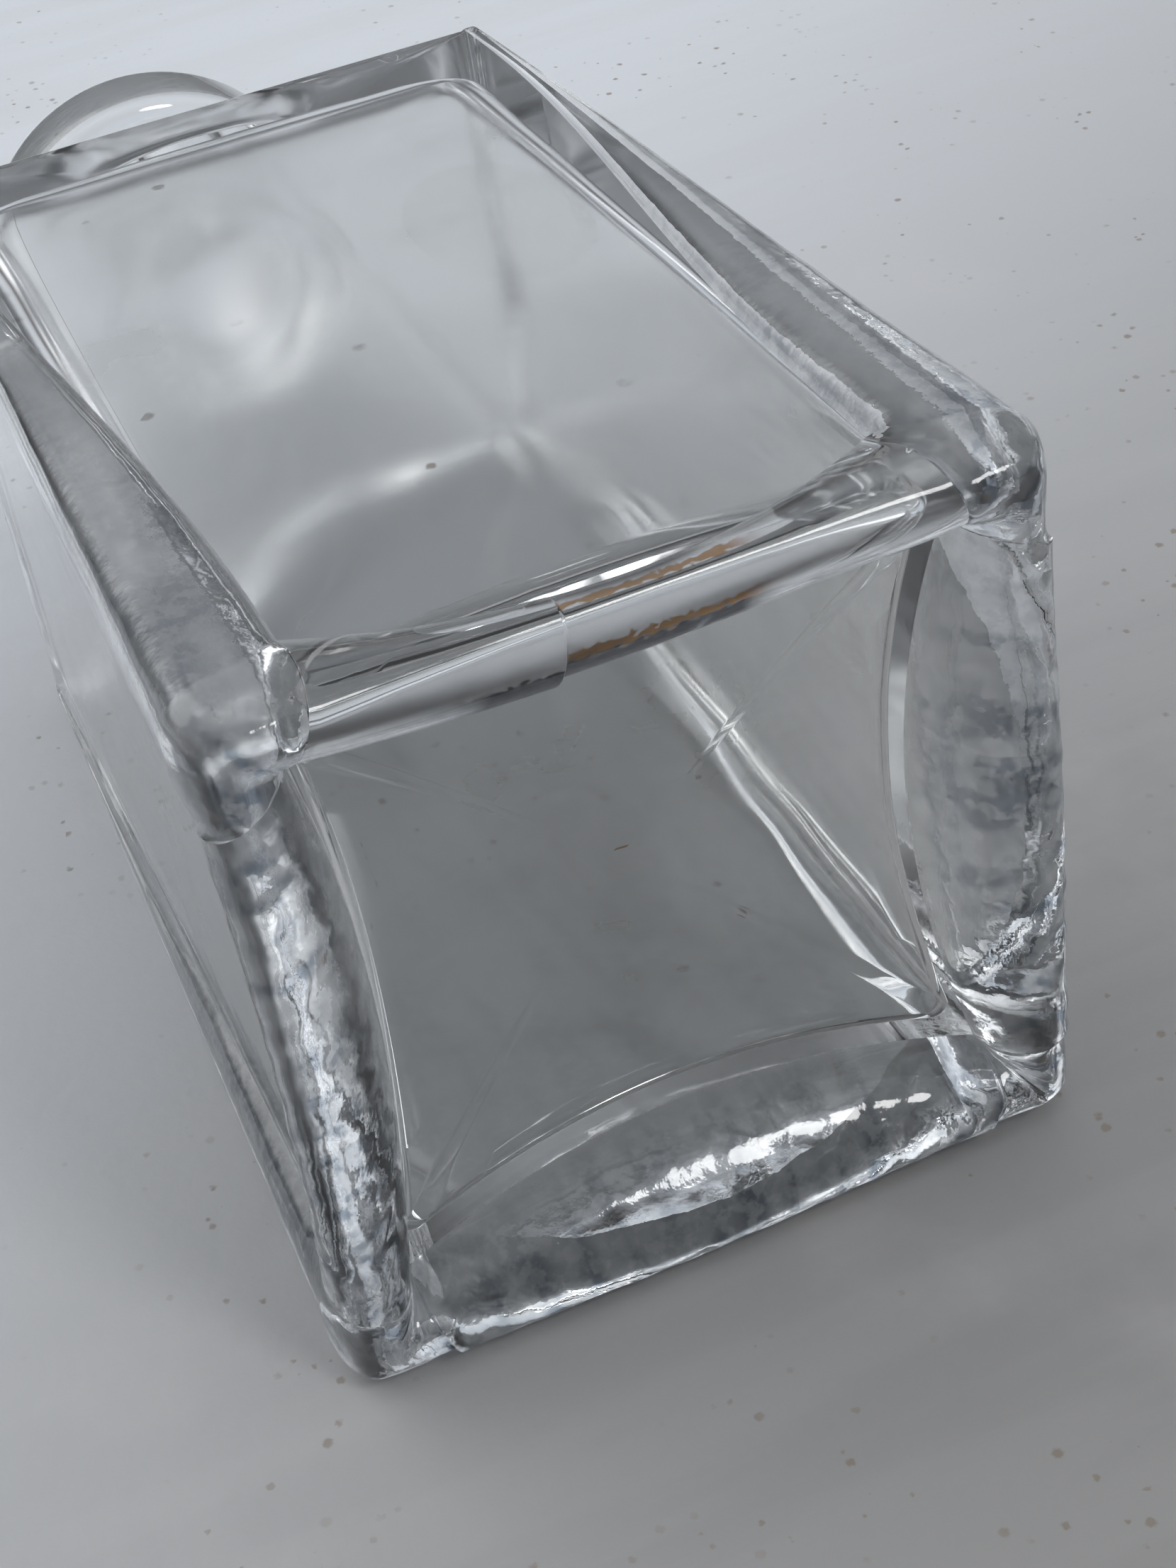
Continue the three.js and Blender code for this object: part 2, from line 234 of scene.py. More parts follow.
def cushion_edge():
    """Edge of the bottom's cushion panel: parabolas between four points, bowed in and up."""
    bow = 1 - COL["across"] ** 2
    x = COL["across"] * CUSHION_HALF
    y = -mix(CUSHION_HALF, CUSHION_WAIST, bow)
    z = mix(CUSHION_POINT_Z, CUSHION_SIDE_Z, bow)
    return x, y, z


def panel_end():
    """Height of the side panel's heel end: a parabola, lowest at mid-width. On a corner bar the
    end drops towards the bar's middle, so the bar runs down close to the heel's crest."""
    panel = mix(PANEL_END_CORNER, PANEL_END_MIDDLE, 1 - COL["across"] ** 2)
    return panel - BAR_DROP * np.sin(math.pi * COL["round"]) * COL["corner"]


def cushion_rows():
    """The dished cushion: straight spokes in plan, rising to the centre with the square."""
    x, y, z = cushion_edge()
    return [
        turned(x * s, y * s, mix(CUSHION_CENTRE_Z, z, s**2)) for s in steps(CUSHION_COUNT)
    ]


def steps(count):
    """Even shares of a stretch, without its start and with its end."""
    return (np.arange(count) + 1) / count


def bezier(points, share):
    """Cubic Bezier arc through arrays of control coordinates."""
    a, b, c, d = points
    u = 1 - share
    return u**3 * a + 3 * u * u * share * b + 3 * u * share * share * c + share**3 * d


def heel_rows():
    """The heel roll: a cubic Bezier arc per column, from the cushion over the crest at z = 0.

    The inner controls lie level, at the height that puts the arc's middle at z = 0. They swell
    out beyond a panel's plane, and the swell dies away with the square round each corner.
    """
    x0, y0, z0 = cushion_edge()
    z3 = panel_end()
    x3, y3 = outline(z3)
    crest = -(z0 + z3) / 6
    lean = COL["round"] * math.pi / 2
    full = SINK_HEEL * SWELL
    fade_in = full * np.clip(1 - COL["round"] / SWELL_FADE, 0, None) ** 2
    fade_out = full * np.clip(1 - (1 - COL["round"]) / SWELL_FADE, 0, None) ** 2
    swell_x = np.where(COL["corner"], fade_out, 0)
    swell_y = np.where(COL["corner"], -fade_in, -full)
    xs = (x0, x0 + HEEL_LEAN * np.sin(lean), x3 + swell_x, x3)
    ys = (y0, y0 - HEEL_LEAN * np.cos(lean), y3 + swell_y, y3)
    zs = (z0, crest, crest, z3)
    return [turned(bezier(xs, s), bezier(ys, s), bezier(zs, s)) for s in steps(HEEL_COUNT)]


def side_rows():
    """Panels and corner bars, straight up from the panel's end to the shoulder's round."""
    top = SHOULDER_Z - SHOULDER_ROUND
    rows = []
    for s in steps(SIDE_COUNT):
        z = mix(panel_end(), top, s)
        x, y = outline(z)
        rows.append(turned(x, y, z))
    return rows


def shoulder_rows():
    """Quarter-round shoulder edge, domed shoulder and a quarter-round up into the neck."""
    top = SHOULDER_Z - SHOULDER_ROUND
    x, y = outline(np.full(COUNT, top))
    rows = []
    for s in steps(EDGE_COUNT):
        bend = s * math.pi / 2
        pull = SHOULDER_ROUND * (1 - math.cos(bend))
        shrink = 1 - pull / np.maximum(np.abs(x), np.abs(y))
        rows.append(turned(x * shrink, y * shrink, top + SHOULDER_ROUND * math.sin(bend)))
    edge = rows[-1]
    root_r, root_z = NECK_R + NECK_ROUND, NECK_ROOT_Z - NECK_ROUND
    root = round_row(root_r, root_z)
    for s in steps(DOME_COUNT):
        row = mix(edge, root, s)
        row[:, 2] = mix(SHOULDER_Z, root_z, 1 - (1 - s) ** DOME_POWER)
        rows.append(row)
    for s in steps(NECK_COUNT):
        bend = s * math.pi / 2
        radius = root_r - NECK_ROUND * math.sin(bend)
        rows.append(round_row(radius, NECK_ROOT_Z - NECK_ROUND * math.cos(bend)))
    return rows


def neck_rows():
    """Neck, lip bead and the tapered bore, as rows of circles along a rounded profile."""
    swell_low = LIP_Z - 1.25 * LIP_TALL
    swell_high = LIP_Z - 0.75 * LIP_TALL
    rows = [round_row(NECK_R, mix(NECK_ROOT_Z, swell_low, s)) for s in steps(NECK_COUNT)]
    for s in steps(NECK_COUNT):
        radius = mix(NECK_R, LIP_R, 0.5 - 0.5 * math.cos(s * math.pi))
        rows.append(round_row(radius, mix(swell_low, swell_high, s)))
    rows.append(round_row(LIP_R, LIP_Z - LIP_ROUND))
    for s in steps(LIP_COUNT):
        bend = s * math.pi / 2
        radius = LIP_R - LIP_ROUND * (1 - math.cos(bend))
        rows.append(round_row(radius, LIP_Z - LIP_ROUND + LIP_ROUND * math.sin(bend)))
    for s in steps(LIP_COUNT):
        bend = s * math.pi / 2
        radius = BORE_LIP_R + BORE_ROUND * (1 - math.sin(bend))
        rows.append(round_row(radius, LIP_Z - BORE_ROUND * (1 - math.cos(bend))))
    for s in steps(BORE_COUNT):
        radius = mix(BORE_LIP_R, BORE_ROOT_R, s)
        rows.append(round_row(radius, mix(LIP_Z - BORE_ROUND, NECK_ROOT_Z, s)))
    return rows


def cavity_section(half, radius, waist, z):
    """Section of the cavity: a square with round corners, its sides bowed in by the waist."""
    bend = COL["round"] * math.pi / 2
    flat = half - radius
    side = -half + waist * (1 - COL["across"] ** 2)
    x = np.where(COL["corner"], flat + radius * np.sin(bend), COL["across"] * flat)
    y = np.where(COL["corner"], -flat - radius * np.cos(bend), side)
    return turned(x, y, z)


def cavity_half(z):
    """Half width of the cavity at height z: its walls thin evenly towards the shoulder."""
    share = z / SHOULDER_Z
    panel = mix(HEEL_HALF, SHOULDER_HALF, share) - mix(SINK_HEEL, SINK_SHOULDER, share)
    return panel - mix(SIDE_WALL, SIDE_WALL_TOP, share)


def cavity_rows():
    """The cavity from the bore's root down to its floor.

    A cubic Bezier arc leads from the bore into the wall while the section changes from a circle
    to the round-cornered square; the floor follows the cushion at the base's thickness.
    """
    wall_top = SHOULDER_Z - VAULT_TALL
    top = cavity_half(wall_top)
    rows = []
    for s in steps(VAULT_COUNT):
        half = bezier((BORE_ROOT_R, BORE_ROOT_R + VAULT_START, top, top), s)
        arc_z = (NECK_ROOT_Z, NECK_ROOT_Z - SHOULDER_WALL, SHOULDER_Z - SHOULDER_WALL, wall_top)
        z = bezier(arc_z, s)
        square = cavity_section(half, min(CAVITY_CORNER_TOP, half), 0, z)
        rows.append(mix(round_row(half, z), square, s * s * (3 - 2 * s)))
    floor_edge = cushion_edge()[2] + BASE_WALL
    for s in steps(WALL_COUNT):
        z = mix(wall_top, floor_edge + CAVITY_FLOOR_ROUND, s)
        corner = mix(CAVITY_CORNER_TOP, CAVITY_CORNER_FLOOR, s**0.6)
        rows.append(cavity_section(cavity_half(z), corner, CAVITY_WAIST * s**4, z))
    wall = rows[-1]
    for s in steps(EDGE_COUNT):
        bend = s * math.pi / 2
        row = wall * (1 - CAVITY_FLOOR_ROUND * (1 - math.cos(bend)) / cavity_half(0))
        row[:, 2] = floor_edge + CAVITY_FLOOR_ROUND * (1 - math.sin(bend))
        rows.append(row)
    edge = rows[-1]
    for s in steps(FLOOR_COUNT)[:-1]:
        row = edge * (1 - s)
        row[:, 2] = mix(CUSHION_CENTRE_Z + BASE_WALL, floor_edge, (1 - s) ** 2)
        rows.append(row)
    return rows


# ---------------------------------------------------------------------------------------------
# Marks of the mould
# ---------------------------------------------------------------------------------------------
def ripples(grid, wave, seed, turns=6):
    """Height from -1 to 1 at each point: the mean of sines along random directions, each bent
    by a slower sine, with wave lengths from one to two times the given one."""
    random = np.random.default_rng(seed)
    height = np.zeros(grid.shape[:-1])
    for _ in range(turns):
        across, along = (random.normal(size=3) for _ in range(2))
        across *= 2 * math.pi / (wave * random.uniform(1, 2) * np.linalg.norm(across))
        along *= 2 * math.pi / (wave * random.uniform(3, 5) * np.linalg.norm(along))
        height += np.sin(grid @ across + 1.8 * np.sin(grid @ along) + random.uniform(0, 6))
    return height / turns * SINES_TO_FULL


def push_out(grid, amount):
    """Moves each point of the grid along the outward normal by its own amount. The normal is
    the cross product of the steps to the next column and to the next row."""
    up = np.gradient(grid, axis=0)
    around = np.roll(grid, -1, axis=1) - np.roll(grid, 1, axis=1)
    normal = np.cross(around, up)
    size = np.maximum(np.linalg.norm(normal, axis=-1, keepdims=True), 1e-14)
    return grid + normal / size * amount[..., None]


def smooth(value, low, high):
    """Smooth step from 0 at low to 1 at high."""
    share = np.clip((value - low) / (high - low), 0, 1)
    return share * share * (3 - 2 * share)


def heel_share(grid_rows, start, count):
    """Place of each row along the heel roll's arc: 0 before it, 0 to 1 on it, then 1."""
    return np.clip((np.arange(grid_rows) - start + 1) / count, 0, 1)[:, None]


def mould_marks(grid, cushion_count, outer_count):
    """Adds the mould's marks to the smooth skin, and gives the weights that the glass's finish
    reads: the streaks of painted dark reflection, the film inside the cavity, the place on the
    top heel roll along its arc and across it for the painted reflection lines, and the rippled
    skin, which also weights the painted dark reflection."""
    row = np.arange(len(grid))[:, None]
    arc = heel_share(len(grid), cushion_count, HEEL_COUNT)
    outside = row < cushion_count + HEEL_COUNT + SIDE_COUNT
    body = (row >= cushion_count) & outside
    side = np.round(COL["turn"] / (math.pi / 2)).astype(int)
    corner = COL["corner"]
    top_side = (side == 0) & ~corner
    bottom_side = (side == 2) & ~corner

    on_roll = np.sin(math.pi * arc) * body
    roll_skin = np.sqrt(np.clip(on_roll, 0, 1)) * np.where(top_side, TOP_ROLL_SKIN, 1.0)
    length = smooth(grid[..., 2], 90 * MM, 10 * MM)
    bar_skin = body * (arc >= 1) * corner * BAR_SKIN * length
    panel_skin = body * (arc >= 1) * ~corner * ~top_side * PANEL_SKIN * length
    skin = np.maximum(roll_skin, bar_skin + panel_skin)
    amount = RIPPLE * skin * (ripples(grid, RIPPLE_WAVE, seed=11) - 1)

    cavity = row >= outer_count
    wall = cavity * smooth(grid[..., 2], 12 * MM, 24 * MM)
    amount = amount + SWAY * wall * ripples(grid, SWAY_WAVE, seed=5)
    amount = amount + FINE_SWAY * cavity * ripples(grid, FINE_SWAY_WAVE, seed=8)

    bend = mix(STEP_ACROSS, SEAM_ACROSS, smooth(grid[..., 2], 4 * MM, 22 * MM))
    ridge = np.exp(-(((COL["across"] - bend) / SEAM_HALF) ** 2))
    ridge = ridge * body * (arc >= 1) * (top_side | bottom_side)
    step = smooth(COL["across"] - STEP_ACROSS, -STEP_HALF, STEP_HALF)
    step = step * smooth(COL["across"], 0.95, 0.5) * top_side * smooth(on_roll, 0, 0.6)
    amount = amount + SEAM_RIDGE * ridge - SEAM_STEP * step

    # Streaks of painted dark reflection across the heel roll, for the slate tint on the rolls and bars
    around = np.arange(COUNT) * COLUMN_WIDTH * np.ones_like(arc)
    streak_plane = np.stack([around, grid[..., 2] * 0.3, arc * 2 * MM * np.ones(COUNT)], axis=-1)
    weights = {
        "dark_reflection_streak": smooth(ripples(streak_plane, STREAK_WAVE, seed=3), -0.5, 0.6),
        "film": cavity * mix(0.12, 1.0, smooth(grid[..., 2], 11 * MM, 30 * MM)),
        "roll_arc": arc * (side == 0) * np.ones(COUNT),
        "roll_across": np.where(top_side, COL["across"], 1.0) * np.ones_like(arc),
        "mould_skin": skin,
    }
    return push_out(grid, amount), weights


# ---------------------------------------------------------------------------------------------
# Mesh making
# ---------------------------------------------------------------------------------------------
def mesh_piece(name, points, faces, crease_degrees=25):
    """A smooth-shaded piece from arrays of points and faces, with creases above an angle."""
    mesh = bpy.data.meshes.new(name)
    mesh.from_pydata(points, [], faces)
    mesh.update()
    piece = bpy.data.objects.new(name, mesh)
    bpy.context.scene.collection.objects.link(piece)
    mesh.polygons.foreach_set("use_smooth", np.ones(len(mesh.polygons), dtype=bool))
    mesh.set_sharp_from_angle(angle=math.radians(crease_degrees))
    return piece


def add_weight(piece, name, values):
    """Stores one number per point under a name, for the materials to read."""
    layer = piece.data.attributes.new(name, "FLOAT", "POINT")
    layer.data.foreach_set("value", np.ascontiguousarray(values, dtype=np.float32))


def skin_faces(rows, columns):
    """Faces of a closed skin: a quad between each pair of rows and neighbouring columns, and a
    fan at each end, to the two poles that follow the grid's own points."""
    near = np.arange(columns)
    far = (near + 1) % columns
    row = np.arange(rows - 1)[:, None] * columns
    quads = np.stack([row + near, row + far, row + columns + far, row + columns + near], -1)
    last_row = (rows - 1) * columns
    start = np.stack([np.full(columns, rows * columns), far, near], -1)
    end = np.stack([np.full(columns, rows * columns + 1), last_row + near, last_row + far], -1)
    return [*quads.reshape(-1, 4), *start, *end]


def placed(points, matrix):
    """Points of the standing bottle's frame, turned and moved by the matrix."""
    return points @ np.array(matrix.to_3x3()).T + np.array(matrix.translation)


def closed_skin(name, first, grid, last, weights, matrix):
    """Joins a grid of rows into a closed skin with a pole before the first row and after the
    last, shares points that coincide, and drops faces that shrink to a line."""
    points = np.concatenate([grid.reshape(-1, 3), [first, last]])
    keys = np.round(points / SAME_POINT).astype(np.int64)
    _, firsts, same = np.unique(keys, axis=0, return_index=True, return_inverse=True)
    same = same.reshape(-1)
    faces = []
    for face in skin_faces(len(grid), COUNT):
        shared = same[face].tolist()
        kept = [point for k, point in enumerate(shared) if point != shared[k - 1]]
        if len(set(kept)) == len(kept) and len(kept) > 2:
            faces.append(kept)
    piece = mesh_piece(name, placed(points[firsts], matrix), faces)
    for key, value in weights.items():
        poles = [value[0].mean(), value[-1].mean()]
        add_weight(piece, key, np.concatenate([value.reshape(-1), poles])[firsts])
    return piece


def turned_points(profile, segments=96):
    """Points of a profile of (radius, height) pairs turned about the axis: a ring for each pair
    between the first and the last, then those two as poles."""
    profile = np.array(profile)
    angle = np.arange(segments) * 2 * math.pi / segments
    radius, height = profile[1:-1, :1], profile[1:-1, 1:]
    rings = [radius * np.cos(angle), radius * np.sin(angle), height * np.ones(segments)]
    poles = [[0, 0, profile[0, 1]], [0, 0, profile[-1, 1]]]
    points = np.concatenate([np.stack(rings, -1).reshape(-1, 3), poles])
    return points, skin_faces(len(profile) - 2, segments)


def make_bottle(matrix):
    """The bottle's skin: cushion, heel roll, sides, shoulder and neck outside, cavity inside."""
    cushion = cushion_rows()
    outer = [*cushion, *heel_rows(), *side_rows(), *shoulder_rows(), *neck_rows()]
    smooth_grid = np.stack([*outer, *cavity_rows()])
    grid, weights = mould_marks(smooth_grid, len(cushion), len(outer))
    first = (0, 0, CUSHION_CENTRE_Z)
    last = (0, 0, CUSHION_CENTRE_Z + BASE_WALL)
    piece = closed_skin("bottle_glass_skin", first, grid, last, weights, matrix)
    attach(piece, "bottle")
    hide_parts("glass_bottle")
    return piece


def bore_radius(z):
    """Radius of the tapered bore at height z in the neck."""
    return mix(BORE_ROOT_R, BORE_LIP_R, (z - NECK_ROOT_Z) / (LIP_Z - NECK_ROOT_Z))


def stopper_profile():
    """The stopper's profile, in (radius, height) pairs from the plug's end to the head's top:
    a plug that follows the bore at an even gap, under a disc with round edges."""
    end = LIP_Z - PLUG_LONG
    bottom = LIP_Z + PLUG_GAP
    top = bottom + HEAD_TALL
    end_r = bore_radius(end) - PLUG_GAP - PLUG_ROUND
    root_r = bore_radius(LIP_Z)
    edge_r = HEAD_R - HEAD_ROUND
    arc = np.linspace(0, math.pi / 2, 10)
    rise = HEAD_ROUND * (1 - np.cos(arc))
    plug_heights = np.linspace(end + 1.2 * PLUG_ROUND, LIP_Z, 12)
    return [
        (0, end),
        (end_r, end),
        *((end_r + PLUG_ROUND * math.sin(a), end + PLUG_ROUND * (1 - math.cos(a))) for a in arc[1:]),
        *((bore_radius(z) - PLUG_GAP, z) for z in plug_heights),
        (root_r - PLUG_GAP, bottom),
        *((mix(root_r, edge_r, s), bottom) for s in (0.3, 0.6)),
        *((edge_r + HEAD_ROUND * math.sin(a), bottom + up) for a, up in zip(arc, rise)),
        *((edge_r + HEAD_ROUND * math.cos(a), top - HEAD_ROUND + HEAD_ROUND * math.sin(a)) for a in arc),
        *((edge_r * s, top) for s in (0.8, 0.5, 0.2)),
        (0, top),
    ]


def make_stopper(matrix):
    """The stopper, with a weight of 1 on the plug's ground part."""
    points, faces = turned_points(stopper_profile())
    piece = mesh_piece("stopper_glass_solid", placed(points, matrix), faces)
    add_weight(piece, "ground", points[:, 2] < LIP_Z - CLEAR_BELOW_LIP)
    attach(piece, "stopper")
    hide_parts("glass_stopper")
    return piece


# ---------------------------------------------------------------------------------------------
# Materials
# ---------------------------------------------------------------------------------------------
class Nodes:
    """Short calls for building a node tree."""

    def __init__(self, tree):
        self.tree = tree

    def add(self, kind, values=None, links=None, **settings):
        node = self.tree.nodes.new(kind)
        for key, value in settings.items():
            setattr(node, key, value)
        for key, value in (values or {}).items():
            node.inputs[key].default_value = value
        for key, socket in (links or {}).items():
            self.tree.links.new(socket, node.inputs[key])
        return node

    def math(self, operation, a, b):
        """A Math node's result; a and b are sockets or plain numbers."""
        node = self.tree.nodes.new("ShaderNodeMath")
        node.operation = operation
        for socket, value in zip(node.inputs, (a, b)):
            self.feed(socket, value)
        return node.outputs[0]

    def ramp(self, value, low, high, to_low=0.0, to_high=1.0):
        """A smooth step from to_low at low to to_high at high."""
        node = self.add("ShaderNodeMapRange", interpolation_type="SMOOTHSTEP")
        ends = {"From Min": low, "From Max": high, "To Min": to_low, "To Max": to_high}
        for key, number in ends.items():
            self.feed(node.inputs[key], number)
        self.feed(node.inputs["Value"], value)
        return node.outputs["Result"]

    def blend(self, share, a, b, kind="MIX"):
        """A colour between a and b; each is a socket or a colour."""
        node = self.add("ShaderNodeMix", data_type="RGBA", blend_type=kind)
        for socket, value in zip((node.inputs[0], node.inputs[6], node.inputs[7]), (share, a, b)):
            self.feed(socket, value)
        return node.outputs[2]

    def attribute(self, name):
        return self.add("ShaderNodeAttribute", attribute_name=name).outputs["Fac"]

    def feed(self, socket, value):
        """Links a socket to the input, or sets the input to a plain value."""
        if isinstance(value, bpy.types.NodeSocket):
            self.tree.links.new(value, socket)
        else:
            socket.default_value = value


def new_group(name, inputs, output):
    """An empty node group with the named inputs and one output; gives its nodes and its ends."""
    tree = bpy.data.node_groups.new(name, "ShaderNodeTree")
    for label, kind, value in inputs:
        socket = tree.interface.new_socket(label, in_out="INPUT", socket_type=kind)
        if value is not None:
            socket.default_value = value
    tree.interface.new_socket(output, in_out="OUTPUT", socket_type="NodeSocketFloat")
    nodes = Nodes(tree)
    return nodes, nodes.add("NodeGroupInput"), nodes.add("NodeGroupOutput")


def speck_group():
    """Scattered grit: a round speck in some cells of a jittered lattice, as a mask."""
    nodes, given, out = new_group(
        "scattered_grit",
        [
            ("Vector", "NodeSocketVector", None),
            ("Scale", "NodeSocketFloat", 900.0),
            ("Share", "NodeSocketFloat", 0.1),
            ("Size", "NodeSocketFloat", 0.3),
        ],
        "Mask",
    )
    warp = nodes.add("ShaderNodeTexNoise", {"Scale": 3000.0}, {"Vector": given.outputs["Vector"]})
    shift = nodes.add(
        "ShaderNodeVectorMath", {"Scale": 0.4 * MM}, {0: warp.outputs["Color"]}, operation="SCALE"
    )
    moved = nodes.add(
        "ShaderNodeVectorMath", None, {0: given.outputs["Vector"], 1: shift.outputs[0]}, operation="ADD"
    )
    cells = nodes.add(
        "ShaderNodeTexVoronoi", None, {"Vector": moved.outputs[0], "Scale": given.outputs["Scale"]}
    )
    pick = nodes.add("ShaderNodeSeparateColor", None, {"Color": cells.outputs["Color"]})
    chosen = nodes.math("LESS_THAN", pick.outputs[0], given.outputs["Share"])
    reach = nodes.math("MULTIPLY", given.outputs["Size"], pick.outputs[1])
    round_mask = nodes.ramp(cells.outputs["Distance"], reach, nodes.math("MULTIPLY", reach, 0.5))
    nodes.feed(out.inputs["Mask"], nodes.math("MULTIPLY", round_mask, chosen))
    return nodes.tree


def cloud_group():
    """Soft clouds: fractal noise between two levels, as a mask."""
    nodes, given, out = new_group(
        "soft_clouds",
        [
            ("Vector", "NodeSocketVector", None),
            ("Scale", "NodeSocketFloat", 40.0),
            ("Low", "NodeSocketFloat", 0.4),
            ("High", "NodeSocketFloat", 0.7),
        ],
        "Mask",
    )
    noise = nodes.add(
        "ShaderNodeTexNoise",
        {"Detail": 5.0, "Roughness": 0.55},
        {"Vector": given.outputs["Vector"], "Scale": given.outputs["Scale"]},
    )
    mask = nodes.ramp(noise.outputs["Fac"], given.outputs["Low"], given.outputs["High"])
    nodes.feed(out.inputs["Mask"], mask)
    return nodes.tree


def use_group(nodes, tree, vector, **values):
    """Places a group in a material and gives its one output."""
    node = nodes.add("ShaderNodeGroup", node_tree=tree)
    nodes.feed(node.inputs["Vector"], vector)
    for key, value in values.items():
        nodes.feed(node.inputs[key], value)
    return node.outputs[0]


def new_material(name, colour, roughness):
    """A material, its nodes, its Principled shader and its Object coordinates."""
    material = bpy.data.materials.new(name)
    material.use_nodes = True
    shader = material.node_tree.nodes["Principled BSDF"]
    shader.inputs["Base Color"].default_value = (*colour, 1)
    shader.inputs["Roughness"].default_value = roughness
    nodes = Nodes(material.node_tree)
    place = nodes.add("ShaderNodeTexCoord").outputs["Object"]
    return material, nodes, shader, place


CLEAR = (0.965, 0.972, 0.970)
HAZE = (0.90, 0.90, 0.885, 1)
# Painted dark reflection: the slate tint that the rolls and bars take for dark surroundings
DARK_REFLECTION_TINT = (0.10, 0.13, 0.17, 1)
SOIL = (0.20, 0.16, 0.12, 1)
# The next two are painted brown and black reflections on the top heel roll
BROWN_REFLECTION = (0.30, 0.10, 0.02, 1)
BLACK_REFLECTION = (0.012, 0.012, 0.014, 1)
# Paint of the floor; the first two are the lit and shaded ends of a painted shade across it
PAINT_IN_LIGHT = (0.61, 0.625, 0.65, 1)
PAINT_IN_SHADE = (0.25, 0.24, 0.23, 1)
BRUSHED_PAINT = (0.45, 0.44, 0.43, 1)
STAINED_PAINT = (0.50, 0.475, 0.46, 1)

# Painted brown and black reflection lines along the top heel roll: place on its arc, half width
# and soft edge, from 0 at the cushion to 1 at the panel; then where they fade in and out across
# the side, from -1 to 1
BROWN_REFLECTION_LINES = ((0.82, 0.025, 0.02), (0.42, 0.020, 0.02))
BROWN_REFLECTION_REACH = ((-0.245, -0.235), (0.30, 0.47))
BLACK_REFLECTION_LINES = ((0.28, 0.10, 0.03),)
BLACK_REFLECTION_REACH = ((-0.72, -0.45), (0.30, 0.47))
LINE_JITTER = 0.14  # how much the grain roughens the lines' edges

# The cleaner band inside the top wall, in the standing bottle's frame
TIDE_CENTRE = Vector((14.0, -22.0, 60.0)) * MM
TIDE_OUTER = (11.5 * MM, 22.5 * MM)  # half axes of the ovals across and along the body
TIDE_INNER = (7.0 * MM, 11.5 * MM)


def make_clear(name):
    """A clear glass material with its nodes, shader and place."""
    material, nodes, shader, place = new_material(name, CLEAR, 0.01)
    shader.inputs["IOR"].default_value = 1.5
    shader.inputs["Transmission Weight"].default_value = 1.0
    return material, nodes, shader, place


def band(nodes, value, centre, half, soft):
    """A mask that is 1 within half of the centre and fades over the soft width."""
    away = nodes.math("ABSOLUTE", nodes.math("SUBTRACT", value, centre), 0.0)
    return nodes.ramp(away, half + soft, half)


def tide_mark(nodes, place, matrix):
    """An arched, cleaner band inside the top wall, between two ovals on the same centre."""
    centre = matrix @ TIDE_CENTRE
    offset = nodes.add("ShaderNodeVectorMath", {1: centre}, {0: place}, operation="SUBTRACT")

    def oval(half_across, half_along):
        scale = (1 / half_across, 1 / half_along, 0)
        flat = nodes.add(
            "ShaderNodeVectorMath", {1: scale}, {0: offset.outputs[0]}, operation="MULTIPLY"
        )
        reach = nodes.add("ShaderNodeVectorMath", None, {0: flat.outputs[0]}, operation="LENGTH")
        return nodes.ramp(reach.outputs["Value"], 1.02, 0.98)

    split = nodes.add("ShaderNodeSeparateXYZ", None, {"Vector": offset.outputs[0]})
    above = nodes.ramp(split.outputs["Z"], -8 * MM, -6 * MM)
    legs = nodes.ramp(split.outputs["Y"], -17 * MM, -12 * MM)
    ring = nodes.math("SUBTRACT", oval(*TIDE_OUTER), oval(*TIDE_INNER))
    return nodes.math("MULTIPLY", ring, nodes.math("MULTIPLY", above, legs))


def reflection_lines(nodes, line, across, rows, reach):
    """A mask of narrow painted reflection lines at given places on the roll's arc, fading out across it.
    """
    mask = band(nodes, line, *rows[0])
    for row in rows[1:]:
        mask = nodes.math("MAXIMUM", mask, band(nodes, line, *row))
    left = nodes.ramp(across, reach[0][0], reach[0][1])
    right = nodes.ramp(across, reach[1][1], reach[1][0])
    return nodes.math("MULTIPLY", mask, nodes.math("MULTIPLY", left, right))


